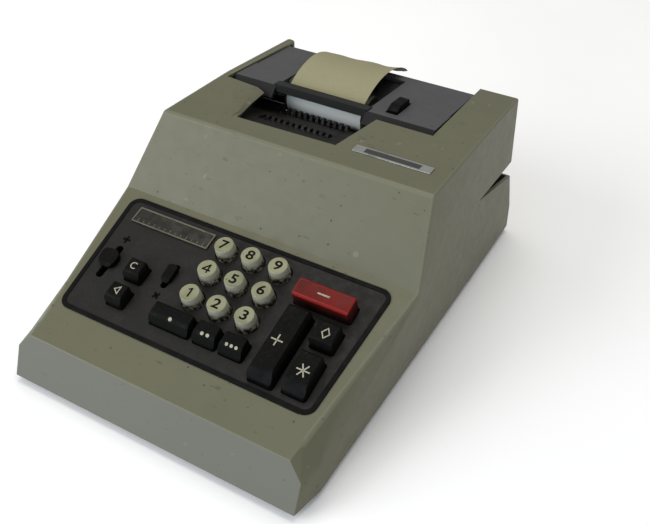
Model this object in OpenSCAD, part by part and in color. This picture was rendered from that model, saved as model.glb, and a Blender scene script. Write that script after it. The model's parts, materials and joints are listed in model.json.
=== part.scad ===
// Ten-key printing adding machine: wedge case, sloped keyboard, paper and printing unit in the hood.
// Millimetres. X to the right, Y to the back, Z up. Origin on the table under the middle of the case.

/* [Case] */
// Width of the case along its bottom edge
body_w = 219; // [217:0.5:222]
// Depth from the front lower edge to the back
body_d = 331; // [328:0.5:336]
// Height of the hood top above the lower edge of the case
case_h = 118; // [116:0.5:121]
// Thickness of the case walls
wall = 2.5; // [2.2:0.1:2.8]
// Height of the rubber feet
foot_h = 5; // [4:0.5:7]
// Width of the front face
front_w = 211; // [209:0.5:213]
// Height of the front face
front_h = 30; // [29:0.5:32]
// How far the front face leans back
front_lean = 11; // [9:0.5:12]

/* [Deck] */
// Slope of the keyboard deck in degrees
deck_angle = 18.4; // [17.8:0.1:19]
// Length of the deck along its slope
deck_len = 127; // [126:0.5:129]
// Width of the deck at the front
deck_front_w = 192.4; // [191:0.2:194]
// Width of the deck at the hood
deck_rear_w = 228.8; // [227:0.2:230]

/* [Hood] */
// Depth of the hood top, from its front edge to the back of the case
hood_len = 165; // [163:0.5:167]
// Width of the hood top at the front
hood_w = 207; // [206:0.5:209]
// Width of the hood top at the back
hood_rear_w = 202; // [201:0.5:205]
// Fall of the hood top towards the back
hood_fall = 4; // [3:0.5:5]
// Where the open gap under the back of the hood begins
gap_y = 252; // [248:1:256]
// Height of that gap at the back wall
gap_h = 17; // [14:0.5:18]

/* [Keyboard] */
// Distance from key to key across
key_pitch = 20.5; // [20:0.1:21]
// Distance from row to row
row_pitch = 20; // [19.6:0.1:20.4]
// Diameter of a number key at its top
key_d = 13.6; // [13:0.2:14.2]
// Height of a number key above the panel
key_h = 10; // [9:0.5:11]
// Travel of every key
key_travel = 4; // [3:0.5:4.5]
// Gap between a key and its hole
key_gap = 0.6; // [0.4:0.1:0.8]
// Width of the black rubber border
border_w = 3.2; // [3:0.1:3.6]

/* [Printer] */
// Diameter of the platen
platen_d = 28; // [27:0.5:28.5]
// Length of the platen
platen_l = 68; // [66:1:70]
// Width of the paper
paper_w = 63; // [60:1:64]
// Diameter of the paper roll
roll_d = 40; // [34:1:42]
// Number of type bars
type_n = 12; // [10:1:12]
// Distance from type bar to type bar
type_pitch = 5; // [4.8:0.1:5]

/* [Hidden] */
$fn = 64;
zc = foot_h;
ca = cos(deck_angle);
sa = sin(deck_angle);
deck_ry = front_lean + deck_len * ca;
deck_rz = front_h + deck_len * sa;
rear_y = body_d - 5;
gap_z = deck_rz - 3.4;
kink_y = 22;
mid_y = 54;
belt_h = front_h * 2 / 3;
front_ang = atan2(front_h, front_lean);
hood_y = body_d - hood_len;
hood_ang = atan2(case_h - deck_rz, hood_y - deck_ry);
run_fit = 0.06;
frame_x = 94;
frame_t = 2;
pan_t = 2;
pan_z = zc + pan_t;
guide_w = -17.5;
guide_t = 1.5;
post_d = 5;
panel_t = 2.6;
panel_top = 0.4;
px0 = -0.7;
pv0 = 26.3;
pv1 = 121.5;
phf = 95.3;
phr = 101.3;
grid_u = 7;
grid_v = 85.2;
open_l = -95.5;
open_r = 70.5;
roll_y = body_d - 33;
roll_z = case_h - 44;
platen_x = -23.5;
platen_y = roll_y - 33;
platen_z = case_h - 16;
press_d = 12;
press_y = platen_y - 9;
press_z = platen_z - sqrt(pow((platen_d + press_d) / 2 + 0.75, 2) - 81);
cover_y = platen_y - 27;
cover_end = body_d - 13;
cover_z = case_h - 0.6;
cover_fall = 5.4;
dish_d = 5.6;
hinge_y = body_d - 24;
hinge_z = case_h - 18;
slot_l = -59;
slot_r = 16;
rel_y = cover_y + 23;
rel_z = zc + case_h - 9.8;
type_x = -27.5;
type_ang = -15.5;
type_y = platen_y - 18;
type_z = case_h - 23;
guide_l = (type_y - hood_y - 29) / cos(type_ang);
ridge_y = cover_y + 2;
window_y = cover_y - 4.5;
fall_ang = -atan2(hood_fall, rear_y - ridge_y);
motor_y = 216;
motor_z = 34;
main_y = 166;
main_z = 46;
belt_x = 30;
carr_y = 118;
carr_z = 22;
rod_gap = 22;
skirt = key_travel - 0.5;
tie_places = [[50, 11], [main_y + 49, case_h - 30], [body_d - 45, 40]];
rear_tilt = atan2(body_d - rear_y, case_h - hood_fall);
inlet_x = 60;
inlet_z = 30;
funnel_d = 8;

// Helpers

// Moves the drawing frame (front lower edge) so that the origin is under the middle of the case
module place() {
    translate([0, -body_d / 2, 0]) children();
}

// Frame of the sloped deck: x across, y up the slope, z out of the deck
module on_deck() {
    translate([0, front_lean, zc + front_h]) rotate([deck_angle, 0, 0]) children();
}

module rrect(w, d, r) {
    square([w - 2 * r, d], center = true);
    square([w, d - 2 * r], center = true);
    for (x = [-1, 1], y = [-1, 1]) translate([x * (w / 2 - r), y * (d / 2 - r)]) circle(r);
}

function unit(v) = v / norm(v);
function left_of(a, b) = let (d = unit(b - a)) [d[1], -d[0]];

// Rounded polygon: corner circle centres given anticlockwise
module rpoly(c, r) {
    n = len(c);
    polygon([for (i = [0 : n - 1], k = [0, 1])
        c[i] + r * (k == 0 ? left_of(c[(i + n - 1) % n], c[i]) : left_of(c[i], c[(i + 1) % n]))]);
    for (p = c) translate(p) circle(r);
}

// Outline of the keyboard panel, drawn in by g
module panel_outline(g, r) {
    f = phf - g - r;
    b = phr - g - r;
    rpoly([[px0 - f, pv0 + g + r], [px0 + f, pv0 + g + r], [px0 + b, pv1 - g - r], [px0 - b, pv1 - g - r]], r);
}

// Rod along X between two x values
module xrod(x0, x1, y, z, d) {
    translate([x0, y, z]) rotate([0, 90, 0]) cylinder(h = x1 - x0, d = d);
}

// Case shape

function nrm(a) = [-sin(a), cos(a)];
function inset(a, b, g) = -g * (nrm(a) + nrm(b)) / (1 + nrm(a) * nrm(b));
function deck_half(y) = (deck_front_w
    + (deck_rear_w - deck_front_w) * (y - front_lean) / (deck_ry - front_lean)) / 2;
function hood_line(z) = deck_ry + (hood_y - deck_ry) * (z - deck_rz) / (case_h - deck_rz);
function deck_z(y) = front_h + (y - front_lean) * sa / ca;
function front_y(z, g) = front_lean * z / front_h + g / sin(front_ang);
function back_y(z, g) = body_d - (body_d - rear_y) * z / (case_h - hood_fall) - g;

// Right-hand corner points of the case, drawn in by g, lower edge at zb
function case_points(g, zb) = let (
    q1 = inset(front_ang, deck_angle, g),
    q2 = inset(deck_angle, hood_ang, g),
    q3 = inset(hood_ang, 0, g),
    q4 = inset(0, fall_ang, g),
    dz = g / ca,
    bw = body_w / 2 - g,
    kg = g * 1.35
) [
    [front_w / 2 - g, front_y(zb, g), zb],
    [front_w / 2 - g, front_y(belt_h, g), belt_h],
    [deck_front_w / 2 - kg, front_lean + q1[0], front_h + q1[1]],
    [bw + 0.2, kink_y, zb],
    [bw - 1.2, kink_y, belt_h + 1.5],
    [deck_half(kink_y) - kg, kink_y, deck_z(kink_y) - dz],
    [bw, mid_y, zb],
    [bw - 0.7, mid_y, belt_h + 5],
    [deck_half(mid_y) - kg, mid_y, deck_z(mid_y) - dz],
    [bw - 0.1, deck_ry + q2[0], zb],
    [bw + 3, deck_ry + q2[0], belt_h * 2],
    [deck_rear_w / 2 - g, deck_ry + q2[0], deck_rz + q2[1]],
    [bw - 0.3, gap_y, zb],
    [bw + 0.5, gap_y, belt_h * 2 - 2],
    [bw - 4, gap_y, gap_z],
    [bw - 0.9, back_y(zb, g), zb],
    [bw - 1.5, back_y(belt_h, g), belt_h],
    [bw - 5.4, back_y(belt_h * 2.4, g), belt_h * 2.4],
    [hood_w / 2 - g, hood_y + q3[0], case_h - g],
    [hood_w / 2 - 0.8 - g, ridge_y + q4[0], case_h - g],
    [hood_rear_w / 2 - g, back_y(case_h - hood_fall - g, g), case_h - hood_fall - g]
];

function quad(a, b, c, d) = [[a, b, c], [a, c, d]];
function flip(f, n) = [for (t = f) [for (i = [len(t) - 1 : -1 : 0]) t[i] + n]];

module case_solid(g, zb) {
    r = case_points(g, zb);
    n = len(r);
    side = concat(
        [for (s = [0 : 4]) each quad(3 * s, 3 * s + 1, 3 * s + 4, 3 * s + 3)],
        [for (s = [0 : 4]) each quad(3 * s + 1, 3 * s + 2, 3 * s + 5, 3 * s + 4)],
        quad(11, 18, 19, 14),
        quad(14, 19, 20, 17));
    // Pairs of points that are joined straight across, from front to back and round the ends
    runs = [[0, 1], [1, 2], [2, 5], [5, 8], [8, 11], [11, 18], [18, 19], [19, 20], [20, 17], [17, 16], [16, 15],
        [15, 12], [12, 9], [9, 6], [6, 3], [3, 0]];
    across = [for (p = runs) each quad(p[0] + n, p[1] + n, p[1], p[0])];
    translate([0, 0, zc])
        polyhedron(concat(r, [for (p = r) [-p[0], p[1], p[2]]]), concat(side, flip(side, n), across));
}

// Well of the print window, grown by g: three walls slope in, the left one lies back under the dish
module print_funnel(g, top) {
    hull() {
        translate([0, 0, zc + case_h + top - 0.5]) linear_extrude(0.5)
            polygon([[-54 - g, hood_y + 18.5 - g], [23 + g, hood_y + 21 - g], [30 + g, window_y + g],
                [-58 - g, window_y + g]]);
        translate([0, 0, zc + case_h - funnel_d]) linear_extrude(0.5)
            polygon([[-60 - g, hood_y + 25 - g], [15 + g, hood_y + 25 - g], [20 + g, window_y + g],
                [-67 - g, window_y + g]]);
    }
}

// Dish that leads into the well from the left, first shallow, then steep, grown by g
module window_dish(g, top) {
    for (k = [0, 1]) hull() {
        translate([0, 0, zc + case_h + top]) linear_extrude(0.5)
            polygon([[-58.5 - g, hood_y + 17.5 - g], [-45, window_y + g],
                [open_l + 2.5 + 20 * k - g, window_y + g]]);
        translate([0, 0, zc + case_h - dish_d * (k == 0 ? 0.4 : 1) - g]) linear_extrude(0.5)
            polygon([[-55, hood_y + 24], [-45, window_y + g], [-61, window_y + g]]);
    }
}

// Openings of the hood top: print window and the place of the paper cover
module top_openings() {
    translate([0, 0, -0.6]) print_funnel(0, 2);
    window_dish(0, 0);
    translate([0, 0, zc + case_h - 14]) linear_extrude(20)
        polygon([[open_l - 1, window_y], [open_r + 1.5, window_y], [open_r - 0.5, body_d + 5],
            [open_l + 1.5, body_d + 5]]);
}

module gap_cut() {
    translate([-body_w, 0, zc]) rotate([90, 0, 90]) linear_extrude(2 * body_w)
        polygon([[gap_y, gap_z], [body_d + 10, gap_z - gap_h - 6], [body_d + 10, gap_z - 7]]);
}

foot_x = 92;
foot_y = [38, body_d - 32];

module foot_places() {
    for (x = [-1, 1], y = foot_y) translate([x * foot_x, y, 0]) children();
}

module housing() {
    color("#8c8d7c") place() difference() {
        union() {
            difference() {
                union() {
                    difference() {
                        case_solid(0, 0);
                        case_solid(wall, -1);
                    }
                    print_funnel(1.6, -0.6);
                    window_dish(1.6, -1.2);
                }
                top_openings();
                gap_cut();
                on_deck() translate([0, 0, -8]) linear_extrude(16) panel_outline(1.5, 6.5);
            }
            // Screw bosses for the feet, standing on the pan and tied to the side walls
            foot_places() translate([0, 0, pan_z]) cylinder(h = 12, d = 9);
            for (x = [-1, 1], y = foot_y)
                translate([x > 0 ? foot_x : -body_w / 2 + 1.4, y - 1.5, pan_z])
                    cube([body_w / 2 - 1.4 - foot_x, 3, 12]);
        }
        foot_places() cylinder(h = pan_z + 10, d = 4);
        // Mouth for the power inlet in the back wall
        on_back() translate([0, 0, -5]) linear_extrude(25) rrect(24, 18, 3);
    }
}

module pan_outline(g) {
    polygon([for (s = [1, -1], p = s > 0 ? [0, 1, 2, 3] : [3, 2, 1, 0])
        [s * ([front_w, body_w, body_w - 0.6, body_w - 1.8][p] / 2 - g),
         [g + 0.6, kink_y, gap_y, body_d - g][p]]]);
}

module base_pan() {
    color("#4a4b48") place() difference() {
        translate([0, 0, zc]) linear_extrude(pan_t) pan_outline(wall + 0.6);
        foot_places() cylinder(h = 20, d = 4);
        for (x = [-1, 1], y = [70, 230]) translate([x * (frame_x - 7), y, 0]) cylinder(h = 20, d = 3);
        for (i = [0 : 6]) translate([-30 + 10 * i, body_d - 46, 0]) linear_extrude(20) rrect(4, 40, 1.9);
    }
}

module feet() {
    color("#1c1c1c") place() foot_places() difference() {
        union() {
            cylinder(h = 1.5, d1 = 14, d2 = 17);
            translate([0, 0, 1.5]) cylinder(h = foot_h - 1.5, d = 17);
        }
        translate([0, 0, -1]) cylinder(h = 3.6, d = 8);
        cylinder(h = foot_h + 1, d = 4);
    }
}

module foot_screws() {
    color("#9a9a98") place() foot_places() difference() {
        union() {
            translate([0, 0, 0.4]) cylinder(h = 2.2, d = 7);
            translate([0, 0, 2.6]) cylinder(h = pan_z + 6, d = 4);
        }
        translate([-3, -0.5, -0.6]) cube([6, 1, 1.8]);
    }
}

// Chassis

module frame_shape() {
    polygon([[36, pan_z], [36, zc + 22], [deck_ry - 1.5, zc + deck_rz - 18],
        [hood_line(case_h - 22) + 7.8, zc + case_h - 22],
        [cover_y - 3, zc + case_h - 14], [cover_end, zc + case_h - 14], [cover_end, zc + case_h - 48],
        [cover_end - 18, zc + case_h - 66], [cover_end - 18, pan_z]]);
}

module side_frame(s) {
    color("#85868a") place() difference() {
        union() {
            translate([s > 0 ? frame_x : -frame_x - frame_t, 0, 0]) rotate([90, 0, 90])
                linear_extrude(frame_t) frame_shape();
            translate([s > 0 ? frame_x - 12 : -frame_x, 60, pan_z]) cube([12, 20, 2]);
            translate([s > 0 ? frame_x - 12 : -frame_x, 220, pan_z]) cube([12, 20, 2]);
        }
        foot_places() cylinder(h = 40, d = 10);
        for (y = [70, 230]) translate([s * (frame_x - 7), y, 0]) cylinder(h = 20, d = 3);
        xrod(-120, 120, platen_y, zc + platen_z, 8 + 2 * run_fit);
        xrod(-120, 120, press_y, zc + press_z, 5 + 2 * run_fit);
        xrod(-120, 120, roll_y, zc + roll_z, 6 + 2 * run_fit);
        xrod(-120, 120, main_y, zc + main_z, 8 + 2 * run_fit);
        xrod(-120, 120, hinge_y, zc + hinge_z, 4);
        for (y = [carr_y, carr_y - rod_gap]) xrod(-120, 120, y, zc + carr_z, 5);
        for (p = tie_places) xrod(-120, 120, p[0], zc + p[1], 4);
    }
}

module side_frame_left() {
    side_frame(-1);
}

module side_frame_right() {
    side_frame(1);
}

module frame_screws() {
    color("#b0b0ac") place() for (x = [-1, 1], y = [70, 230])
        translate([x * (frame_x - 7), y, 0]) difference() {
            union() {
                translate([0, 0, zc]) cylinder(h = 2 + pan_t, d = 3);
                translate([0, 0, pan_z + 2]) cylinder(h = 2, d = 5.6);
            }
            translate([-3, -0.4, pan_z + 3.2]) cube([6, 0.8, 2]);
        }
}

module tie_rods() {
    color("#a4a5a6") place() for (p = tie_places) {
        xrod(-frame_x, frame_x, p[0], zc + p[1], 7);
        xrod(-frame_x - frame_t, frame_x + frame_t, p[0], zc + p[1], 4);
    }
}

// Keyboard

num_u = [for (i = [0 : 8]) grid_u + (i % 3 - 1) * key_pitch];
num_v = [for (i = [0 : 8]) grid_v + (floor(i / 3) - 1) * row_pitch];
// Rectangular keys: centre across, centre up the slope, width, length
zero_k = [-15.5, 46, 30, 13];
dzero_k = [11, 46, 16.6, 13];
tzero_k = [30.4, 46, 16.6, 13];
plus_k = [56.3, 58, 17, 52];
minus_k = [65.9, 96, 40, 12.6];
sub_k = [78.3, 74.5, 16, 16];
tot_k = [78.3, 46.8, 16, 26.5];
clear_k = [-59.4, 66.8, 13.4, 13.4];
corr_k = [-58.9, 46.6, 13.4, 13.4];
rect_keys = [zero_k, dzero_k, tzero_k, plus_k, minus_k, sub_k, tot_k, clear_k, corr_k];
sign_u = -84;
sign_v = 69;
rep_u = -38.2;
rep_v = 75;
lens_u = -59.5;
lens_v = 108.2;
lens_w = 63;
lens_d = 12.6;

// Cuts for every key through a plate
module key_holes(grow) {
    for (i = [0 : 8]) translate([num_u[i], num_v[i]]) circle(d = key_d + 1.2 + 2 * grow);
    for (k = rect_keys) translate([k[0], k[1]]) rrect(k[2] + 2 * grow, k[3] + 2 * grow, 2);
}

module keyboard_panel() {
    color("#34322f") place() on_deck() difference() {
        translate([0, 0, panel_top - panel_t]) linear_extrude(panel_t) panel_outline(border_w, 4.8);
        translate([0, 0, -10]) linear_extrude(20) {
            key_holes(key_gap);
            translate([sign_u, sign_v - 1]) rrect(5.4, 27, 2.4);
            translate([rep_u, rep_v - 0.5]) rrect(4.8, 19.5, 2.2);
            translate([lens_u, lens_v]) rrect(lens_w - 3, lens_d - 3, 0.5);
        }
    }
}

module panel_gasket() {
    color("#121212") place() on_deck() {
        difference() {
            linear_extrude(0.9) panel_outline(0, 8);
            translate([0, 0, -1]) linear_extrude(4) panel_outline(border_w, 4.8);
        }
        translate([0, 0, -2.9]) difference() {
            linear_extrude(2.9) panel_outline(1.5, 6.5);
            translate([0, 0, -1]) linear_extrude(6) panel_outline(border_w, 4.8);
        }
    }
}

module key_guide_plate() {
    color("#8d8f92") place() on_deck() difference() {
        translate([-frame_x, 28, guide_w]) cube([2 * frame_x, 92, guide_t]);
        translate([0, 0, guide_w - 1]) linear_extrude(4) {
            for (i = [0 : 8]) translate([num_u[i], num_v[i]]) circle(d = post_d + 2 * run_fit);
            for (k = rect_keys, s = post_places(k)) translate(s) circle(d = post_d + 2 * run_fit);
            translate([lens_u, lens_v]) square([lens_w + 8, 14], center = true);
            translate([sign_u, sign_v - 1]) square([10, 30], center = true);
            translate([rep_u, rep_v - 0.5]) square([9, 24], center = true);
        }
    }
}

// Posts of a rectangular key: one in the middle, or two on a long bar
function post_places(k) = k[2] > 25 ? [[k[0] - k[2] / 4, k[1]], [k[0] + k[2] / 4, k[1]]]
    : k[3] > 25 ? [[k[0], k[1] - k[3] / 4], [k[0], k[1] + k[3] / 4]] : [[k[0], k[1]]];

module post() {
    translate([0, 0, guide_w - 7]) cylinder(h = 7.5 - guide_w - skirt, d = post_d);
}

module number_key(i) {
    r = key_d / 2;
    color("#d8d2b8") place() on_deck() translate([num_u[i], num_v[i], 0]) {
        rotate_extrude() polygon([[0, -skirt], [r + 0.6, -skirt], [r + 0.6, 0], [r + 0.25, key_h - 1.4],
            [r - 0.55, key_h - 0.35], [r - 1.3, key_h], [r - 1.5, key_h - 0.15], [0, key_h - 0.25]]);
        post();
    }
}

module key_1() {
    number_key(0);
}

module key_2() {
    number_key(1);
}

module key_3() {
    number_key(2);
}

module key_4() {
    number_key(3);
}

module key_5() {
    number_key(4);
}

module key_6() {
    number_key(5);
}

module key_7() {
    number_key(6);
}

module key_8() {
    number_key(7);
}

module key_9() {
    number_key(8);
}

// Key with a straight back, a flat top and a sloping front of the given length and foot height
module slope_key(k, h, slope, low, edge) {
    l = k[3] / 2;
    w = k[2];
    intersection() {
        translate([k[0] - w / 2, k[1], 0]) rotate([90, 0, 90]) linear_extrude(w)
            polygon([[-l, -skirt], [l, -skirt], [l, h - edge], [l - edge, h], [-l + slope, h - 0.4],
                [-l + slope * 0.55, h - 0.4 - (h - low) * 0.22], [-l + 0.6, low + 0.5], [-l, low - 0.6]]);
        translate([k[0], k[1] + l + 1, 0]) rotate([90, 0, 0]) linear_extrude(k[3] + 2)
            polygon([[-w / 2, -skirt - 1], [w / 2, -skirt - 1], [w / 2, h - 3], [w / 2 - edge * 0.5, h - edge],
                [w / 2 - edge * 1.5, h + 1], [-w / 2 + edge * 1.5, h + 1], [-w / 2 + edge * 0.5, h - edge],
                [-w / 2, h - 3]]);
        translate([k[0], k[1], -skirt - 1]) linear_extrude(30) rrect(k[2], k[3], 1.8);
    }
    for (s = post_places(k)) translate([s[0], s[1], 0]) post();
}

module key_zero() {
    color("#191919") place() on_deck() slope_key(zero_k, 8.6, 6, 2.6, 1);
}

module key_double_zero() {
    color("#191919") place() on_deck() slope_key(dzero_k, 8.6, 6, 2.6, 1);
}

module key_triple_zero() {
    color("#191919") place() on_deck() slope_key(tzero_k, 8.6, 6, 2.6, 1);
}

module plus_bar() {
    color("#1b1b1b") place() on_deck() slope_key(plus_k, 11, 9, 5, 1.6);
}

module minus_bar() {
    color("#b3201f") place() on_deck() slope_key(minus_k, 12.6, 1.6, 11, 1);
}

module subtotal_key() {
    color("#1b1b1b") place() on_deck() slope_key(sub_k, 10, 4, 5.5, 1.2);
}

module total_key() {
    color("#1b1b1b") place() on_deck() slope_key(tot_k, 10, 9, 4, 1.2);
}

module clear_key() {
    color("#191919") place() on_deck() slope_key(clear_k, 9, 4.5, 4.5, 1.2);
}

module correction_key() {
    color("#191919") place() on_deck() slope_key(corr_k, 9, 4.5, 4.5, 1.2);
}

// Slot lever: knob on the panel, tongue through the slot, foot plate under the panel
module slot_lever(u, v, kw, kl, kh, tw) {
    translate([u, v, 0]) {
        intersection() {
            translate([-kw / 2, 0, panel_top + 0.4]) rotate([90, 0, 90]) linear_extrude(kw)
                polygon([[-kl / 2, 0], [kl / 2, 0], [kl / 2, kh * 0.8], [kl / 2 - 1.6, kh],
                    [-kl / 2 + 2, kh * 0.7], [-kl / 2, kh * 0.3]]);
            translate([0, 0, -1]) linear_extrude(20) rrect(kw, kl, min(kw, kl) * 0.4);
        }
        translate([-tw / 2, -3, -8]) cube([tw, 6, 9]);
        translate([-tw / 2 - 2, -5, -9.5]) cube([tw + 4, 10, 2]);
    }
}

module sign_lever() {
    color("#161616") place() on_deck() slot_lever(sign_u, sign_v, 13, 13, 5, 4.4);
}

module repeat_lever() {
    color("#161616") place() on_deck() slot_lever(rep_u, rep_v, 7, 13.5, 4.5, 3.8);
}

module indicator_lens() {
    color("#b9b7a2") place() on_deck() translate([lens_u, lens_v, panel_top]) difference() {
        linear_extrude(1.3) rrect(lens_w, lens_d, 0.8);
        translate([0, 0, 0.8]) linear_extrude(2) rrect(lens_w - 2, lens_d - 2, 0.4);
    }
}

module indicator_scale() {
    color("#6b6450") place() on_deck() translate([lens_u, lens_v, 0]) {
        translate([-lens_w / 2 - 2, -lens_d / 2 + 1.2, -6.5]) cube([lens_w + 4, lens_d - 5.6, 0.8]);
        for (x = [-1, 1]) translate([x * (lens_w / 2 + 1) - 1, -lens_d / 2 + 1.2, -6])
            cube([2, lens_d - 5.6, 6 + panel_top - panel_t]);
    }
}

pointer_u = lens_u + lens_w / 2 - 6;

module column_pointer() {
    color("#b5402c") place() on_deck() translate([pointer_u, lens_v, 0]) {
        translate([-1, lens_d / 2 - 4, -5.2]) cube([2, 2.4, 1.2]);
        translate([-1, -2, -5.2]) cube([2, 6.5, 0.6]);
        translate([-1, lens_d / 2 - 4, -28]) cube([2, 2.4, 23]);
    }
}

module pin_carriage() {
    color("#9c8f63") place() {
        difference() {
            translate([pointer_u - 12, carr_y - rod_gap - 8, zc + carr_z - 7]) cube([24, rod_gap + 16, 14]);
            for (y = [carr_y, carr_y - rod_gap]) xrod(-120, 120, y, zc + carr_z, 5 + 2 * run_fit);
        }
        // Stop pins in rows on top of the carriage
        for (i = [0 : 3], j = [0 : 3])
            translate([pointer_u - 9 + 4 * i, carr_y - rod_gap + 1 + 5 * j, zc + carr_z + 6])
                cylinder(h = 5, d = 1.6);
        intersection() {
            on_deck() translate([pointer_u - 3, lens_v + lens_d / 2 - 6, -44]) cube([6, 6, 16]);
            translate([-200, 0, zc + carr_z + 2]) cube([400, 200, 60]);
        }
    }
}

module carriage_rods() {
    color("#b4b5b6") place() for (y = [carr_y, carr_y - rod_gap])
        xrod(-frame_x - frame_t, frame_x + frame_t, y, zc + carr_z, 5);
}

// Paper cover and its fittings

function cover_top(y) = zc + cover_z - cover_fall * (y - cover_y) / (cover_end - cover_y);

module cover_side() {
    polygon([[cover_y - 2.5, cover_top(cover_y) - 7.5], [cover_y + 5, cover_top(cover_y + 5)],
        [cover_end, cover_top(cover_end)], [cover_end, cover_top(cover_end) - 2.4],
        [cover_y + 6, cover_top(cover_y + 6) - 2.4], [cover_y - 0.8, cover_top(cover_y) - 9.2]]);
}

module paper_cover() {
    color("#4e4d4c") place() difference() {
        union() {
            translate([open_l + 0.4, 0, 0]) rotate([90, 0, 90])
                linear_extrude(open_r - open_l - 1.4) cover_side();
            for (x = [open_l + 6, slot_l - 8, slot_r + 4, open_r - 10])
                translate([x, 0, 0]) rotate([90, 0, 90]) linear_extrude(4) union() {
                    translate([hinge_y, zc + hinge_z]) circle(d = 9);
                    polygon([[hinge_y - 4.4, zc + hinge_z], [hinge_y + 4.4, zc + hinge_z],
                        [hinge_y + 5, cover_top(hinge_y + 5) - 1], [hinge_y - 5, cover_top(hinge_y - 5) - 1]]);
                }
            // Lugs that carry the paper release lever
            for (x = [25, 37.4]) translate([x, 0, 0]) rotate([90, 0, 90]) linear_extrude(3) union() {
                translate([rel_y, rel_z]) circle(d = 6.4);
                translate([rel_y - 3.2, rel_z]) square([6.4, cover_top(rel_y) - 1 - rel_z]);
            }
        }
        xrod(20, 45, rel_y, rel_z, 3 + 2 * run_fit);
        translate([slot_l, cover_y + 13, 0]) cube([slot_r - slot_l, cover_end - 9 - cover_y - 13, 300]);
        translate([slot_l, cover_y - 10, 0]) cube([slot_r - slot_l, 15.2, 300]);
        // Slot of the paper release lever
        translate([28, rel_y - 12, 0]) cube([9.4, 25, 300]);
        xrod(-150, 150, hinge_y, zc + hinge_z, 4 + 2 * run_fit);
        // Back corners cut to follow the tapering sides of the hood
        translate([open_r - 1.6, cover_y + 32, 0]) cube([5, 80, 300]);
        translate([open_l - 3.4, cover_y + 32, 0]) cube([5, 80, 300]);
    }
}

module tear_bar() {
    color("#3d4144") place() difference() {
        translate([slot_l - 1.5, 0, 0]) rotate([90, 0, 90]) linear_extrude(slot_r - slot_l + 3)
            polygon([[cover_y + 3.4, cover_top(cover_y) - 5], [cover_y + 4.4, cover_top(cover_y) + 0.8],
                [cover_y + 12, cover_top(cover_y + 12) + 0.8], [cover_y + 12, cover_top(cover_y + 12) + 0.02],
                [cover_y + 5, cover_top(cover_y + 5) + 0.02], [cover_y + 4.1, cover_top(cover_y) - 5]]);
        translate([slot_l - 2, cover_y, 0]) cube([2.1, 5.1, cover_top(cover_y) + 0.02]);
        translate([slot_r - 0.1, cover_y, 0]) cube([2, 5.1, cover_top(cover_y) + 0.02]);
    }
}

module cover_pin() {
    color("#a9aaab") place() xrod(-frame_x - frame_t, frame_x + frame_t, hinge_y, zc + hinge_z, 4);
}

module release_lever() {
    color("#141414") place() {
        translate([28.8, 0, 0]) rotate([90, 0, 90]) linear_extrude(7.8) union() {
            translate([rel_y, rel_z]) circle(d = 6.4);
            polygon([[rel_y - 3, rel_z], [rel_y - 10, rel_z + 6.2], [rel_y - 10.5, rel_z + 10],
                [rel_y - 4, rel_z + 12.4], [rel_y + 10.5, rel_z + 11.2], [rel_y + 11, rel_z + 8.4],
                [rel_y + 3, rel_z]]);
        }
        xrod(26, 39.4, rel_y, rel_z, 3);
    }
}

// Printing unit

module platen() {
    color("#23241f") place() difference() {
        xrod(platen_x - platen_l / 2, platen_x + platen_l / 2, platen_y, zc + platen_z, platen_d);
        xrod(-150, 150, platen_y, zc + platen_z, 8);
    }
}

module platen_shaft() {
    color("#b7b8b9") place() xrod(-frame_x - frame_t - 2, frame_x + frame_t + 2, platen_y, zc + platen_z, 8);
}

module platen_ratchet() {
    color("#94938c") place() translate([18, platen_y, zc + platen_z]) rotate([90, 0, 90])
        linear_extrude(3) difference() {
            union() {
                circle(d = 18);
                for (i = [0 : 17]) rotate(20 * i) polygon([[8, -1.4], [11, -0.3], [11, 0.3], [8, 0.8]]);
            }
            circle(d = 8);
        }
}

module pressure_roller() {
    color("#2a2925") place() {
        xrod(platen_x - 26, platen_x + 26, press_y, zc + press_z, press_d);
        xrod(-frame_x - frame_t, frame_x + frame_t, press_y, zc + press_z, 5);
    }
}

// Frame of the type guide: x across, y along the bars towards the platen, z up from the plate
module on_type() {
    translate([type_x, type_y, zc + type_z]) rotate([type_ang, 0, 0]) children();
}

module type_guide() {
    color("#3c3b39") place() on_type() difference() {
        translate([-frame_x - type_x, -guide_l, -2]) cube([2 * frame_x, guide_l - 3, 2]);
        // Two rows of slots, for the stop lugs and for the type heads
        for (i = [0 : type_n - 1], y = [[-35, 10], [-8, 20]])
            translate([(i - (type_n - 1) / 2) * type_pitch - 1.7, y[0], -5]) cube([3.4, y[1], 10]);
    }
}

module type_bars() {
    color("#151515") place() on_type() for (i = [0 : type_n - 1])
        translate([(i - (type_n - 1) / 2) * type_pitch - 1.2, 0, 0]) rotate([90, 0, 90]) linear_extrude(2.4)
            polygon([[-36, -4], [0.6, -4], [0.6, 3.4], [-2.2, 3.4], [-3.4, -2.4], [-27.4, -2.4],
                [-28, 2.2], [-32.4, 2.2], [-33.4, -2.4], [-36, -2.4]]);
}

module paper_roll() {
    color("#e2dcc6") place() difference() {
        xrod(platen_x - paper_w / 2, platen_x + paper_w / 2, roll_y, zc + roll_z, roll_d);
        xrod(-150, 150, roll_y, zc + roll_z, 12);
    }
}

module paper_spindle() {
    color("#77756c") place() {
        xrod(-frame_x - frame_t, frame_x + frame_t, roll_y, zc + roll_z, 6);
        xrod(platen_x - 36, platen_x + 36, roll_y, zc + roll_z, 12);
    }
}

// Paper path in side view: leaves the platen, arches back over the cover and hangs behind
arch_r = 58;
paper_t = 0.3;
lift_a = 124;
tail_a = 46;
lift_r = platen_d / 2 + 0.1;

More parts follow.
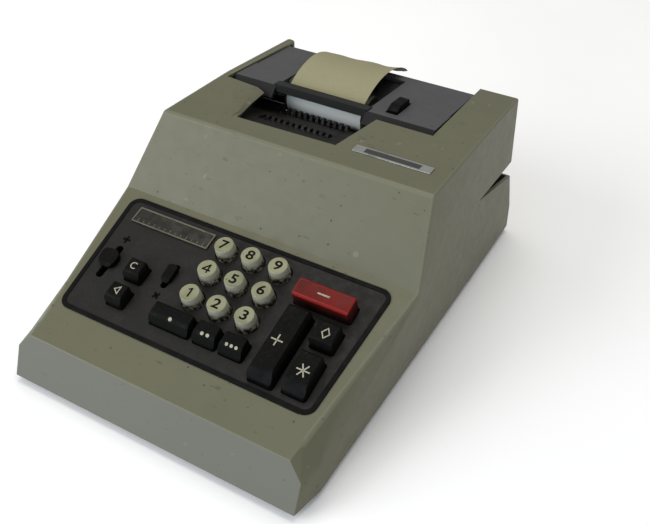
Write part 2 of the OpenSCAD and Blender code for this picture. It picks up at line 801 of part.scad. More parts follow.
module paper_strip() {
    py = platen_y + lift_r * cos(lift_a);
    pz = platen_z + lift_r * sin(lift_a);
    color("#d9cfae") place() translate([platen_x - paper_w / 2, 0, zc]) rotate([90, 0, 90])
        linear_extrude(paper_w) {
        // Wrap round the front of the platen
        difference() {
            translate([platen_y, platen_z]) circle(r = lift_r + paper_t);
            translate([platen_y, platen_z]) circle(r = lift_r);
            polygon([[platen_y, platen_z], [platen_y + 60 * cos(lift_a - 2), platen_z + 60 * sin(lift_a - 2)],
                [platen_y + 60, platen_z + 60], [platen_y + 60, platen_z - 60], [platen_y - 5, platen_z - 60]]);
        }
        // Arch above the cover
        difference() {
            translate([py - arch_r * cos(lift_a), pz - arch_r * sin(lift_a)]) circle(r = arch_r + paper_t);
            translate([py - arch_r * cos(lift_a), pz - arch_r * sin(lift_a)]) circle(r = arch_r);
            translate([py - arch_r * cos(lift_a), pz - arch_r * sin(lift_a)])
                polygon([[0, 0], [90 * cos(lift_a), 90 * sin(lift_a)], [-200, 0], [0, -200], [200, 0],
                    [90 * cos(tail_a), 90 * sin(tail_a)]]);
        }
    }
}

// Drive

module motor() {
    color("#5d625f") place() difference() {
        union() {
            xrod(-58, 12, motor_y, zc + motor_z, 52);
            xrod(-64, 18, motor_y, zc + motor_z, 22);
            translate([-50, motor_y - 22, pan_z]) cube([54, 44, motor_z - pan_t - 14]);
        }
        xrod(10, 30, motor_y, zc + motor_z, 6 + 2 * run_fit);
        for (i = [0 : 5]) translate([-50 + i * 9, motor_y - 30, zc + motor_z + 20]) cube([4, 60, 10]);
    }
}

module motor_pulley() {
    color("#a8a6a0") place() {
        xrod(10.2, belt_x + 8, motor_y, zc + motor_z, 6);
        xrod(belt_x - 4, belt_x + 4, motor_y, zc + motor_z, 16);
        for (x = [belt_x - 5.5, belt_x + 4]) xrod(x, x + 1.5, motor_y, zc + motor_z, 20);
    }
}

module main_shaft() {
    color("#b4b4b2") place() xrod(-frame_x - frame_t, frame_x + frame_t, main_y, zc + main_z, 8);
}

module main_pulley() {
    color("#8f8d86") place() difference() {
        union() {
            xrod(belt_x - 4, belt_x + 4, main_y, zc + main_z, 44);
            for (x = [belt_x - 5.5, belt_x + 4]) xrod(x, x + 1.5, main_y, zc + main_z, 48);
        }
        xrod(-150, 150, main_y, zc + main_z, 8);
    }
}

belt_ang = atan2(main_z - motor_z, main_y - motor_y);
belt_len = sqrt(pow(main_y - motor_y, 2) + pow(main_z - motor_z, 2));

// Belt loop in side view round both pulleys: r0 at the motor, r1 at the main shaft
module belt_loop(r0, r1) {
    hull() {
        circle(r0, $fn = 48);
        translate([belt_len, 0]) circle(r1, $fn = 48);
    }
}

module drive_belt() {
    color("#202020") place() translate([belt_x - 3, motor_y, zc + motor_z]) rotate([90, 0, 90]) rotate(belt_ang)
        linear_extrude(6) difference() {
            belt_loop(9.6, 23.6);
            belt_loop(8.08, 22.08);
        }
}

module drive_cams() {
    color("#9b9a94") place() for (x = [-60, 62]) difference() {
        union() {
            xrod(x, x + 5, main_y, zc + main_z, 20);
            xrod(x, x + 5, main_y + 8, zc + main_z + 5, 14);
        }
        xrod(-150, 150, main_y, zc + main_z, 8);
    }
}

// Back fittings and badge

// Frame of the power inlet on the leaning back wall: z points into the case
module on_back() {
    translate([inlet_x, back_y(inlet_z, 0), zc + inlet_z]) rotate([90 + rear_tilt, 0, 0]) children();
}

module pin_places() {
    for (x = [-5, 0, 5]) translate([x, x == 0 ? -2 : 2, 5]) children();
}

module power_inlet() {
    color("#1d1d1d") place() on_back() difference() {
        union() {
            translate([0, 0, -0.8]) linear_extrude(0.8) rrect(29, 23, 4);
            translate([0, 0, -0.5]) linear_extrude(18) rrect(23.6, 17.6, 2.8);
        }
        translate([0, 0, -2]) linear_extrude(15) rrect(19.6, 13.6, 2);
        pin_places() cylinder(h = 10, d = 2.4);
    }
}

module inlet_pins() {
    color("#c9a64a") place() on_back() pin_places() cylinder(h = 10, d = 2.4);
}

module badge_plate() {
    color("#a9a9a3") place() translate([62.5, hood_y + 25, zc + case_h]) linear_extrude(0.7) rrect(56, 8.4, 0.6);
}

// Drawing

housing();
base_pan();
feet();
foot_screws();
side_frame_left();
side_frame_right();
frame_screws();
tie_rods();
keyboard_panel();
panel_gasket();
key_guide_plate();
key_1();
key_2();
key_3();
key_4();
key_5();
key_6();
key_7();
key_8();
key_9();
key_zero();
key_double_zero();
key_triple_zero();
plus_bar();
minus_bar();
subtotal_key();
total_key();
clear_key();
correction_key();
sign_lever();
repeat_lever();
indicator_lens();
indicator_scale();
column_pointer();
pin_carriage();
carriage_rods();
paper_cover();
tear_bar();
cover_pin();
release_lever();
platen();
platen_shaft();
platen_ratchet();
pressure_roller();
type_guide();
type_bars();
paper_roll();
paper_spindle();
paper_strip();
motor();
motor_pulley();
main_shaft();
main_pulley();
drive_belt();
drive_cams();
power_inlet();
inlet_pins();
badge_plate();
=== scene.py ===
import json
import math

import bmesh
import bpy
import numpy as np
from mathutils import Matrix, Vector, noise
from mathutils.bvhtree import BVHTree


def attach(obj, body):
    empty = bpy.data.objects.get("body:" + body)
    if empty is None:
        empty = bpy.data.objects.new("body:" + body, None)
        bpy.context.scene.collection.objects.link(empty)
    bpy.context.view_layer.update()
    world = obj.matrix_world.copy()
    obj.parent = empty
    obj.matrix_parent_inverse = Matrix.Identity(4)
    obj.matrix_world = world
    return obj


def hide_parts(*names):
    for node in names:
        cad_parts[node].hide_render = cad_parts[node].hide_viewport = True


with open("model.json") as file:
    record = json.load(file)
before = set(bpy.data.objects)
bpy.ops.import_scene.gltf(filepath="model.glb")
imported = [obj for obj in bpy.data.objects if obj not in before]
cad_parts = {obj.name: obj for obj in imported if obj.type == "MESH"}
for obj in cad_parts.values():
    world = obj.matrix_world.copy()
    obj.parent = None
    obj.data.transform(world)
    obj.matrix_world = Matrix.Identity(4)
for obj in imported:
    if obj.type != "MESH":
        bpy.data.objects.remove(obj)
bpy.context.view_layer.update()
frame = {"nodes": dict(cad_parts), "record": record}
scene = bpy.context.scene
NODE_BODY = {n: b for b, ns in frame["record"]["behaviour"]["bodies"].items() for n in ns}

# Main sizes of the part, in millimetres and radians, as in its source
DEPTH = 331.0
FOOT = 5.0
FRONT_LEAN = 11.0
FRONT_H = 30.0
DECK_ANGLE = math.radians(18.4)

# Frame of the sloped deck: x across, y up the slope, z out of it
DECK_ORIGIN = Vector((0, FRONT_LEAN - DEPTH / 2, FOOT + FRONT_H)) / 1000
DECK = Matrix.Translation(DECK_ORIGIN) @ Matrix.Rotation(DECK_ANGLE, 4, "X")
DECK_UP = (DECK.to_3x3() @ Vector((0, 0, 1))).normalized()

# Number keys: the middle of the grid on the deck, and the pitch across and up the slope
KEY_MID = (7, 85.2)
KEY_PITCH = (20.5, 20)

# Case: the rear edge of the deck and the front of the cover, counted from the front
DECK_REAR = 130
COVER_FRONT = 242.9


def at(x, y, z):
    """Point in metres from millimetres counted from the front lower edge of the case."""
    return Vector((x, y - DEPTH / 2, z + FOOT)) / 1000


def lin(rgb):
    """Linear colour from 0 to 255 sRGB values."""
    out = []
    for c in rgb:
        c = c / 255
        out.append(c / 12.92 if c <= 0.04045 else ((c + 0.055) / 1.055) ** 2.4)
    return (*out, 1.0)


# Materials


class Graph:
    """Small helper that adds shader nodes and links them."""

    def __init__(self, name):
        self.mat = bpy.data.materials.new(name)
        self.mat.use_nodes = True
        self.tree = self.mat.node_tree
        self.tree.nodes.clear()
        self.out = self.tree.nodes.new("ShaderNodeOutputMaterial")
        self.bsdf = self.tree.nodes.new("ShaderNodeBsdfPrincipled")
        self.link(self.bsdf.outputs[0], self.out.inputs[0])
        self.coord = self.tree.nodes.new("ShaderNodeTexCoord").outputs["Object"]

    def link(self, a, b):
        """Joins an output to an input."""
        self.tree.links.new(a, b)

    def node(self, kind, **values):
        """New shader node with its settings."""
        n = self.tree.nodes.new(kind)
        for key, value in values.items():
            setattr(n, key, value)
        return n

    def put(self, socket, value):
        """Links an output to a socket, or sets its plain value."""
        if isinstance(value, bpy.types.NodeSocket):
            self.link(value, socket)
        else:
            socket.default_value = value

    def stretch(self, scale):
        """Coordinates with their own scale on each axis."""
        m = self.node("ShaderNodeMapping")
        self.link(self.coord, m.inputs["Vector"])
        m.inputs["Scale"].default_value = scale
        return m.outputs[0]

    def noise(self, scale, detail=4.0, rough=0.55, vec=None):
        """Soft noise from 0 to 1."""
        n = self.node("ShaderNodeTexNoise")
        self.link(vec or self.coord, n.inputs["Vector"])
        n.inputs["Scale"].default_value = scale
        n.inputs["Detail"].default_value = detail
        n.inputs["Roughness"].default_value = rough
        return n.outputs["Fac"]

    def cells(self, scale):
        """Distance to the nearest of scattered points."""
        n = self.node("ShaderNodeTexVoronoi")
        self.link(self.coord, n.inputs["Vector"])
        n.inputs["Scale"].default_value = scale
        return n.outputs["Distance"]

    def span(self, value, a, b, lo=0.0, hi=1.0):
        """Smooth step of a value from a to b, which gives lo to hi."""
        n = self.node("ShaderNodeMapRange", interpolation_type="SMOOTHSTEP")
        self.put(n.inputs["Value"], value)
        n.inputs["From Min"].default_value = a
        n.inputs["From Max"].default_value = b
        n.inputs["To Min"].default_value = lo
        n.inputs["To Max"].default_value = hi
        return n.outputs["Result"]

    def mul(self, a, b):
        """Product of two values, kept from 0 to 1."""
        n = self.node("ShaderNodeMath", operation="MULTIPLY", use_clamp=True)
        self.put(n.inputs[0], a)
        self.put(n.inputs[1], b)
        return n.outputs[0]

    def mix(self, fac, a, b):
        """Colour between a and b."""
        n = self.node("ShaderNodeMix", data_type="RGBA")
        self.put(n.inputs[0], fac)
        self.put(n.inputs[6], a)
        self.put(n.inputs[7], b)
        return n.outputs[2]

    def along(self, direction, origin):
        """Distance in millimetres from a point along a direction."""
        s = self.node("ShaderNodeVectorMath", operation="SUBTRACT")
        self.link(self.coord, s.inputs[0])
        s.inputs[1].default_value = origin
        d = self.node("ShaderNodeVectorMath", operation="DOT_PRODUCT")
        self.link(s.outputs[0], d.inputs[0])
        d.inputs[1].default_value = [c * 1000 for c in direction]
        return d.outputs["Value"]

    def facing(self, direction=(0, 0, 1)):
        """How far a face looks along a direction."""
        g = self.node("ShaderNodeNewGeometry")
        d = self.node("ShaderNodeVectorMath", operation="DOT_PRODUCT")
        self.link(g.outputs["Normal"], d.inputs[0])
        d.inputs[1].default_value = direction
        return d.outputs["Value"]

    def bump(self, height, strength, distance, normal=None):
        """Normal that follows a height, on top of another normal if one is given."""
        n = self.node("ShaderNodeBump")
        n.inputs["Strength"].default_value = strength
        n.inputs["Distance"].default_value = distance
        self.link(height, n.inputs["Height"])
        if normal is not None:
            self.link(normal, n.inputs["Normal"])
        return n.outputs[0]

    def done(self, color, rough, normal=None, metal=0.0, spec=0.5):
        """Finishes the material and returns it."""
        self.put(self.bsdf.inputs["Base Color"], color)
        self.put(self.bsdf.inputs["Roughness"], rough)
        self.bsdf.inputs["Metallic"].default_value = metal
        self.bsdf.inputs["Specular IOR Level"].default_value = spec
        if normal is not None:
            self.link(normal, self.bsdf.inputs["Normal"])
        return self.mat


def paint(name, rgb, dark, dust, rough=0.48, chips=1.0, peel=0.12, front_light_grey=None, spec=0.4):
    """Old enamel: colour drift, dust, chips and specks, orange-peel skin, and, where asked, a lighter grey
    painted on faces that look to the front, which stands in for the light from the front.
    """
    g = Graph(name)
    drift = g.span(g.noise(9, 5), 0.35, 0.68)
    color = g.mix(drift, lin(rgb), lin([c * 0.98 for c in rgb]))
    blot = g.span(g.noise(38, 6, 0.7), 0.5, 0.8, 0, 0.08)
    color = g.mix(blot, color, lin(dark))
    film = g.mul(g.span(g.noise(55, 6, 0.65), 0.4, 0.75), g.span(g.facing(), 0.5, 0.95, 0, 0.12))
    color = g.mix(film, color, lin(dust))
    picked = g.span(g.noise(120, 2), 0.53, 0.58)
    speck = g.mul(g.span(g.cells(150), 0.07, 0.13, chips, 0), picked)
    color = g.mix(speck, color, lin([c * 0.6 for c in dark]))
    rub = g.mul(g.span(g.noise(260, 5, 0.7), 0.6, 0.72), g.span(g.noise(22, 3), 0.5, 0.66, 0, 0.3))
    color = g.mix(rub, color, lin(dust))
    streak = g.noise(30, 3, 0.6, g.stretch((14, 14, 1.2)))
    color = g.mix(g.span(streak, 0.62, 0.8, 0, 0.03), color, lin(dark))
    scuff = g.noise(34, 2, 0.5, g.stretch((3, 9, 12)))
    scuff = g.mul(g.span(scuff, 0.665, 0.69, 0, 0.5), g.span(g.noise(26, 3), 0.48, 0.6))
    color = g.mix(scuff, color, lin([c * 0.8 for c in dark]))
    nick = g.mul(g.span(g.cells(62), 0.1, 0.14, 0.55, 0), g.span(g.noise(48, 2), 0.54, 0.6))
    color = g.mix(nick, color, lin([c * 1.1 for c in dust]))
    rough_out = g.span(g.noise(120, 4), 0.3, 0.7, rough - 0.02, rough + 0.04)
    # Faces that look to the front turn a lighter grey: painted light from the front.
    if front_light_grey:
        color = g.mix(g.span(g.facing((0, -1, 0)), 0.85, 0.93, 0, 0.5), color, lin(front_light_grey))
    skin = g.bump(g.noise(900, 2), peel, 0.0004)
    skin = g.bump(speck, 0.25, -0.0002, skin)
    return g.done(color, rough_out, skin, spec=spec)


def plastic(name, rgb, worn, rough=0.35, grain=0.08, grain_scale=1500, dust=0.25, spec=0.22):
    """Moulded plastic: fine grain, rubbed patches, dust on faces that look up."""
    g = Graph(name)
    patch = g.span(g.noise(70, 5, 0.6), 0.42, 0.72)
    color = g.mix(patch, lin(rgb), lin(worn))
    lint = g.mul(g.span(g.noise(420, 5, 0.7), 0.5, 0.72), g.span(g.facing(), 0.55, 0.98, 0, dust))
    color = g.mix(lint, color, lin((128, 122, 108)))
    rough_out = g.span(g.noise(160, 4), 0.3, 0.7, rough - 0.07, rough + 0.15)
    return g.done(color, rough_out, g.bump(g.noise(grain_scale, 2), grain, 0.0003), spec=spec)


def key_plastic(name, rgb, worn, side, dark_tone, top, spec=0.3):
    """Key plastic with one colour on top and another on the sides (the cream keys yellowed on top and paler
    on the sides), darker and ragged towards the bottom of the sides, with dark specks.
    """
    g = Graph(name)
    color = g.mix(g.span(g.noise(60, 4), 0.4, 0.7), lin(rgb), lin(worn))
    color = g.mix(g.span(g.facing(DECK_UP), 0.45, 0.85), lin(side), color)
    # The sides turn darker and ragged towards the bottom.
    height = g.along(DECK_UP, DECK.translation)
    low = g.span(height, 1.0, top, 1.5, 0.0)
    ragged = g.span(g.noise(360, 6, 0.75), 0.36, 0.58)
    color = g.mix(g.mul(low, ragged), color, lin(dark_tone))
    spot = g.span(g.noise(520, 3), 0.66, 0.74, 0, 0.55)
    color = g.mix(spot, color, lin(dark_tone))
    rough_out = g.span(g.noise(200, 4), 0.3, 0.7, 0.28, 0.46)
    return g.done(color, rough_out, g.bump(g.noise(1100, 2), 0.07, 0.0003), spec=spec)


def metal(name, rgb, rough=0.35):
    """Machined metal: fine lines across the part, oil stains."""
    g = Graph(name)
    lines = g.noise(60, 3, 0.6, g.stretch((2, 90, 90)))
    color = g.mix(g.span(lines, 0.3, 0.7), lin(rgb), lin([c * 0.8 for c in rgb]))
    stain = g.span(g.noise(45, 5, 0.6), 0.52, 0.75, 0, 0.6)
    color = g.mix(stain, color, lin((74, 62, 44)))
    return g.done(color, g.span(lines, 0.3, 0.7, rough, rough + 0.2), g.bump(lines, 0.12, 0.0002), metal=0.9)


def rubber(name, rgb, dust=0.3):
    """Dull rubber with dust on faces that look up."""
    g = Graph(name)
    color = g.mix(g.span(g.noise(80, 5), 0.4, 0.7), lin(rgb), lin([c * 1.5 + 6 for c in rgb]))
    lint = g.mul(g.span(g.noise(500, 5, 0.7), 0.52, 0.74), g.span(g.facing(), 0.5, 0.95, 0, dust))
    color = g.mix(lint, color, lin((118, 112, 100)))
    rough_out = g.span(g.noise(150), 0.3, 0.7, 0.55, 0.75)
    return g.done(color, rough_out, g.bump(g.noise(1800, 2), 0.15, 0.0003), spec=0.12)


# Depth from the front over which the paper turns from white to yellow
PAPER_FADE = (252.5, 257.5)


def paper_stock(name):
    """Yellowed tally paper: fibres, foxing, whiter where it stays inside the window."""
    g = Graph(name)
    fibre = g.noise(700, 5, 0.65, g.stretch((1, 3, 3)))
    color = g.mix(g.span(fibre, 0.35, 0.7), lin((143, 139, 111)), lin((134, 129, 101)))
    fox = g.span(g.noise(60, 6, 0.7), 0.6, 0.78, 0, 0.5)
    color = g.mix(fox, color, lin((132, 116, 86)))
    fleck = g.span(g.noise(900, 2), 0.74, 0.78, 0, 0.6)
    color = g.mix(fleck, color, lin((96, 84, 66)))
    inside = g.span(g.along((0, 1, 0), at(0, 0, 0)), *PAPER_FADE, 1.0, 0.0)
    color = g.mix(inside, color, lin((214, 219, 216)))
    return g.done(color, 0.85, g.bump(fibre, 0.12, 0.0003), spec=0.2)


def mark_ink(name, rgb, worn):
    """Ink of the figures and signs, rubbed in places."""
    g = Graph(name)
    color = g.mix(g.span(g.noise(900, 4, 0.7), 0.45, 0.7), lin(rgb), lin(worn))
    return g.done(color, 0.6, g.bump(g.noise(1500, 2), 0.05, 0.0002), spec=0.08)


def window_glass(name):
    """Clear plastic window gone dull: patchy haze."""
    g = Graph(name)
    haze = g.span(g.noise(90, 6, 0.7), 0.35, 0.7)
    color = g.mix(haze, lin((40, 38, 30)), lin((56, 53, 42)))
    mat = g.done(color, g.span(g.noise(140, 5), 0.3, 0.7, 0.12, 0.34), g.bump(g.noise(500, 3), 0.04, 0.0002))
    g.bsdf.inputs["Transmission Weight"].default_value = 0.45
    return mat


# The case's front faces get the lighter grey: painted light from the front.
CASE = paint("case_enamel", (91, 90, 69), (66, 63, 47), (105, 103, 83), front_light_grey=(98, 99, 97))
# Lighter copy of the case enamel for the case's rounded edges: a painted highlight along the edges, partly
# worn paint.
CASE_EDGE_HIGHLIGHT = paint("case_enamel_edge_highlight", (102, 101, 82), (78, 75, 58), (112, 110, 92), chips=0.5)
COVER = paint("cover_enamel", (64, 64, 66), (45, 44, 43), (88, 86, 83), rough=0.52, chips=0.4, peel=0.3)
# Very dark copy of the cover enamel for the cover's front faces and the tear bar: painted shade.
COVER_SHADE = paint("cover_front_painted_shade", (20, 20, 18), (13, 13, 12), (36, 35, 31), 0.5, 0.3, 0.3, spec=0.22)
PAN = paint("pan_enamel", (58, 59, 57), (36, 35, 33), (84, 82, 76), rough=0.6)
MOTOR = paint("motor_enamel", (86, 92, 88), (52, 50, 44), (110, 106, 96), rough=0.5)
PANEL = plastic("panel_plastic", (24, 23, 21), (30, 28, 25), 0.5, grain=0.2, grain_scale=2400, dust=0.03)
BORDER = rubber("border_rubber", (3, 3, 3), 0.02)
FEET = rubber("foot_rubber", (22, 22, 22))
BELT = rubber("belt_rubber", (26, 25, 24))
ROLLER = rubber("roller_rubber", (34, 34, 30))
CREAM = key_plastic("key_cream", (132, 131, 103), (114, 112, 86), (150, 149, 132), (30, 26, 18), 7.2)
BLACK = plastic("key_black", (7, 7, 6), (10, 10, 9), rough=0.5, dust=0.03, spec=0.07)
RED = plastic("pointer_red", (86, 22, 17), (74, 18, 15), rough=0.4, dust=0.03, spec=0.15)
KEY_RED = key_plastic("key_red", (100, 18, 13), (66, 22, 18), (56, 14, 11), (12, 8, 7), 9.4, spec=0.13)
# Brighter copy of the red key plastic for the rounded rim of the minus bar: painted highlight.
RED_EDGE_HIGHLIGHT = plastic("key_red_edge", (124, 20, 16), (104, 18, 15), rough=0.4, dust=0.0, spec=0.15)
NOIR = plastic("type_black", (12, 12, 12), (20, 19, 17), rough=0.45, dust=0.12)
INK_DARK = mark_ink("ink_dark", (6, 6, 6), (18, 16, 14))
INK_PALE = mark_ink("ink_pale", (160, 157, 138), (116, 112, 96))
INK_BLACK = mark_ink("ink_black", (1, 1, 1), (4, 4, 4))
GLASS = window_glass("window_plastic")
RIM = plastic("window_rim", (96, 93, 78), (74, 71, 58), rough=0.4)
CARD = plastic("scale_card", (92, 84, 62), (70, 64, 48), rough=0.7)
STEEL = metal("steel_lined", (150, 150, 150))
STEEL_DARK = metal("steel_dark", (96, 96, 96), 0.45)
BRASS = metal("brass_lined", (176, 146, 84))
BADGE = metal("badge_plate_metal", (172, 172, 168), 0.3)
FIELD = paint("badge_field", (44, 44, 42), (30, 29, 27), (70, 68, 64), rough=0.4, chips=0.3)
PAPER = paper_stock("tally_paper")


# Pieces


def add(name, mesh, mats, body=None):
    """New object with its materials, which rides on a body where one is named."""
    ob = bpy.data.objects.new(name, mesh)
    scene.collection.objects.link(ob)
    mesh.materials.clear()
    for m in mats:
        mesh.materials.append(m)
    if body:
        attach(ob, body)
    return ob


def baked(ob):
    """Applies an object's modifiers to its mesh."""
    graph = bpy.context.evaluated_depsgraph_get()
    graph.update()
    new = bpy.data.meshes.new_from_object(ob.evaluated_get(graph))
    ob.modifiers.clear()
    old = ob.data
    ob.data = new
    bpy.data.meshes.remove(old)


def smooth(mesh, angle):
    """Smooth shading, with edges sharper than an angle in degrees kept sharp."""
    mesh.polygons.foreach_set("use_smooth", [True] * len(mesh.polygons))
    mesh.set_sharp_from_angle(angle=math.radians(angle))


# Places and lengths, in metres, that tell the edges of the case apart
CASE_RIM_Z = 0.008
SIDE_FOOT_Z = 0.012
SIDE_X = 0.085
HOOD_Y = -0.045
GAP_Y = 0.08
GAP_Z = (0.045, 0.085)
SHORT_EDGE = 0.02
LONG_EDGE = 0.15

# How far a face of the case looks sideways or to the front
LEANS_SIDEWAYS = 0.2
LOOKS_SIDEWAYS = 0.4
LOOKS_AHEAD = -0.8

# Sharpest turn, in degrees, that isn't an edge of the case, and the part of the full rounding in front
CASE_TURN = 20
FRONT_ROUND = 0.22


def outer_edge(e):
    """How much an edge of the case is rounded: hood and deck fully, front a little, others not at all."""
    if not e.is_manifold or not e.is_convex:
        return 0.0
    length = e.calc_length()
    if e.calc_face_angle(0) < math.radians(CASE_TURN) or length < SHORT_EDGE:
        return 0.0
    mid = (e.verts[0].co + e.verts[1].co) / 2
    in_gap = mid.y > GAP_Y and GAP_Z[0] < mid.z < GAP_Z[1]
    if mid.z < CASE_RIM_Z or in_gap:
        return 0.0
    sideways = [abs(f.normal.x) for f in e.link_faces]
    on_side = max(sideways) > LOOKS_SIDEWAYS and abs(mid.x) > SIDE_X
    if not on_side and length < LONG_EDGE:
        return 0.0
    if mid.y > HOOD_Y:
        return 1.0
    if min(sideways) > LEANS_SIDEWAYS:
        return 0.0
    return FRONT_ROUND if min(f.normal.y for f in e.link_faces) < LOOKS_AHEAD else 1.0


def soften_sides(mesh):
    """Blends the facets on the sides of the keyboard part of the case."""
    bm = bmesh.new()
    bm.from_mesh(mesh)
    for e in bm.edges:
        mid = (e.verts[0].co + e.verts[1].co) / 2
        on_side = abs(mid.x) > SIDE_X and mid.y < at(0, DECK_REAR, 0).y and mid.z > SIDE_FOOT_Z
        if on_side and len(e.link_faces) == 2:
            sideways = min(abs(f.normal.x) for f in e.link_faces)
            ahead = min(f.normal.y for f in e.link_faces)
            if sideways > LEANS_SIDEWAYS and ahead > LOOKS_AHEAD:
                e.smooth = True
    bm.to_mesh(mesh)
    bm.free()


# Sharpest turn, in degrees, that isn't rounded on a piece
EDGE_TURN = 28


def top_edge(e):
    """Edges round the top of the red bar, whose rounding takes the brighter red of a painted highlight."""
    if not e.is_manifold or not e.is_convex or e.calc_face_angle(0) <= math.radians(EDGE_TURN):
        return 0.0
    return 1.0 if max(f.normal.dot(DECK_UP) for f in e.link_faces) > 0.9 else 0.0


def dress(node, mats, width, segments, angle=32, pick=None):
    """Copy of a CAD node with rounded edges that stands for it."""
    src = frame["nodes"][node]
    mesh = src.data.copy()
    ob = add(node + "_skin", mesh, mats)
    bm = bmesh.new()
    bm.from_mesh(mesh)
    bmesh.ops.remove_doubles(bm, verts=bm.verts, dist=4e-6)
    bmesh.ops.dissolve_limit(bm, angle_limit=math.radians(0.6), verts=bm.verts, edges=bm.edges)
    for f in bm.faces:
        f.material_index = 0
    if pick:
        weight = bm.edges.layers.float.new("bevel_weight_edge")
        for e in bm.edges:
            e[weight] = pick(e)
    bm.to_mesh(mesh)
    bm.free()
    for name in ("custom_normal", "sharp_edge", "sharp_face"):
        layer = mesh.attributes.get(name)
        if layer:
            mesh.attributes.remove(layer)
    bev = ob.modifiers.new("edge", "BEVEL")
    bev.width = width / 1000
    bev.segments = segments
    bev.limit_method = "WEIGHT" if pick else "ANGLE"
    bev.angle_limit = math.radians(EDGE_TURN)
    bev.use_clamp_overlap = pick is None
    bev.miter_outer = "MITER_ARC"
    if len(mats) > 1:
        bev.material = 1
    baked(ob)
    smooth(ob.data, angle)
    wn = ob.modifiers.new("normals", "WEIGHTED_NORMAL")
    wn.keep_sharp = True
    baked(ob)
    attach(ob, NODE_BODY[node])
    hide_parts(node)
    return ob


def key_u(i):
    """Place of number key i across the deck, in millimetres."""
    return KEY_MID[0] + (i % 3 - 1) * KEY_PITCH[0]


def key_v(i):
    """Place of number key i up the deck, in millimetres."""
    return KEY_MID[1] + (i // 3 - 1) * KEY_PITCH[1]


# Heights on a number key, and how far its side goes out or in there, in millimetres
RIM_Z = (0, 8.6, 9.65, 10)
RIM_GROW = (0, -0.6, 0.13, 0.45)
RIM_INNER = 5.2


def crisp_rim(ob, i):
    """Tapers number key i, and draws its rounded top edge out to a narrow rim."""
    to_deck = DECK.inverted()
    middle = Vector((key_u(i), key_v(i), 0))
    for v in ob.data.vertices:
        p = to_deck @ v.co * 1000 - middle
        out = Vector((p.x, p.y, 0))
        if p.z > 0 and out.length > RIM_INNER:
            out.length += np.interp(p.z, RIM_Z, RIM_GROW)
            v.co = DECK @ ((middle + out + Vector((0, 0, p.z))) / 1000)


# Pieces with one material: material, width of the rounding in millimetres, steps in it
PLAIN_PIECES = (
    ("keyboard_panel", PANEL, 0.25, 2),
    ("panel_gasket", BORDER, 0.35, 3),
    ("paper_cover", COVER, 0.45, 2),
    # The tear bar takes the very dark enamel of the cover's front: painted shade.
    ("tear_bar", COVER_SHADE, 0.12, 2),
    ("release_lever", BLACK, 0.7, 3),
    ("sign_lever", BLACK, 0.7, 3),
    ("repeat_lever", BLACK, 0.7, 3),
    ("type_bars", NOIR, 0.2, 2),
    ("power_inlet", BLACK, 0.3, 2),
    ("badge_plate", BADGE, 0.2, 2),
    ("indicator_lens", GLASS, 0.15, 2),
)
BLACK_KEYS = (
    "key_zero",
    "key_double_zero",
    "key_triple_zero",
    "plus_bar",
    "subtotal_key",
    "total_key",
    "clear_key",
    "correction_key",
)

# The rounded edges of the case take the lighter enamel: painted highlight along the edges.
skins = {"housing": dress("housing", [CASE, CASE_EDGE_HIGHLIGHT], 2.0, 4, 26, outer_edge)}
soften_sides(skins["housing"].data)
for node, mat, width, segments in PLAIN_PIECES:
    skins[node] = dress(node, [mat], width, segments)
for i in range(9):
    node = "key_%d" % (i + 1)
    skins[node] = dress(node, [CREAM], 0.16, 2)
    crisp_rim(skins[node], i)
for node in BLACK_KEYS:
    skins[node] = dress(node, [BLACK], 0.55, 3)
skins["minus_bar"] = dress("minus_bar", [KEY_RED, RED_EDGE_HIGHLIGHT], 0.6, 3, pick=top_edge)

# Faces that take the second material: front of the cover, in painted shade; rim of the window; rounded rim
# of the red bar, in a painted highlight
LENS_RIM = 0.00135
RED_HIGHLIGHT_RIM = (0.35, 0.93)

cover = skins["paper_cover"].data
cover.materials.append(COVER_SHADE)
# Faces in front that don't look up take the very dark enamel: painted shade.
for p in cover.polygons:
    if p.center.y < at(0, COVER_FRONT, 0).y and p.normal.z < 0.9:
        p.material_index = 1
lens = skins["indicator_lens"].data
lens.materials.append(RIM)
for p in lens.polygons:
    if (p.center - DECK.translation).dot(DECK_UP) > LENS_RIM:
        p.material_index = 1
# The sloped rim of the red bar takes the brighter red: painted highlight.
for p in skins["minus_bar"].data.polygons:
    if RED_HIGHLIGHT_RIM[0] < p.normal.dot(DECK_UP) < RED_HIGHLIGHT_RIM[1]:
        p.material_index = 1

# CAD nodes that keep their own shape
KEPT_SHAPES = (
    (PAN, ["base_pan"]),
    (FEET, ["feet"]),
    (PANEL, ["type_guide"]),
    (MOTOR, ["motor"]),
    (BELT, ["drive_belt"]),
    (ROLLER, ["platen", "pressure_roller"]),
    (PAPER, ["paper_roll"]),
    (CARD, ["indicator_scale"]),
    (RED, ["column_pointer"]),
    (BRASS, ["pin_carriage", "inlet_pins"]),
    (NOIR, ["paper_spindle", "platen_shaft", "platen_ratchet"]),
    (STEEL_DARK, ["side_frame_left", "side_frame_right", "key_guide_plate"]),
    (STEEL, ["foot_screws", "frame_screws", "tie_rods", "carriage_rods", "cover_pin"]),
    (STEEL, ["motor_pulley", "main_shaft", "main_pulley", "drive_cams"]),
)
for mat, nodes in KEPT_SHAPES:
    for node in nodes:
        ob = frame["nodes"][node]
        if not ob.material_slots:
            ob.data.materials.append(mat)
        for slot in ob.material_slots:
            slot.material = mat


# Marks on keys and panel

MARK_DEPTH = 0.12
MARK_STEP = 0.0007
RAY_HEIGHT = 0.03
NEAR_HEIGHT = 0.004
trees = {}


def tree_of(name):
    """Search tree of a piece's faces, made once."""
    if name not in trees:
        bm = bmesh.new()
        bm.from_mesh(skins[name].data)
        trees[name] = BVHTree.FromBMesh(bm)
        bm.free()
    return trees[name]


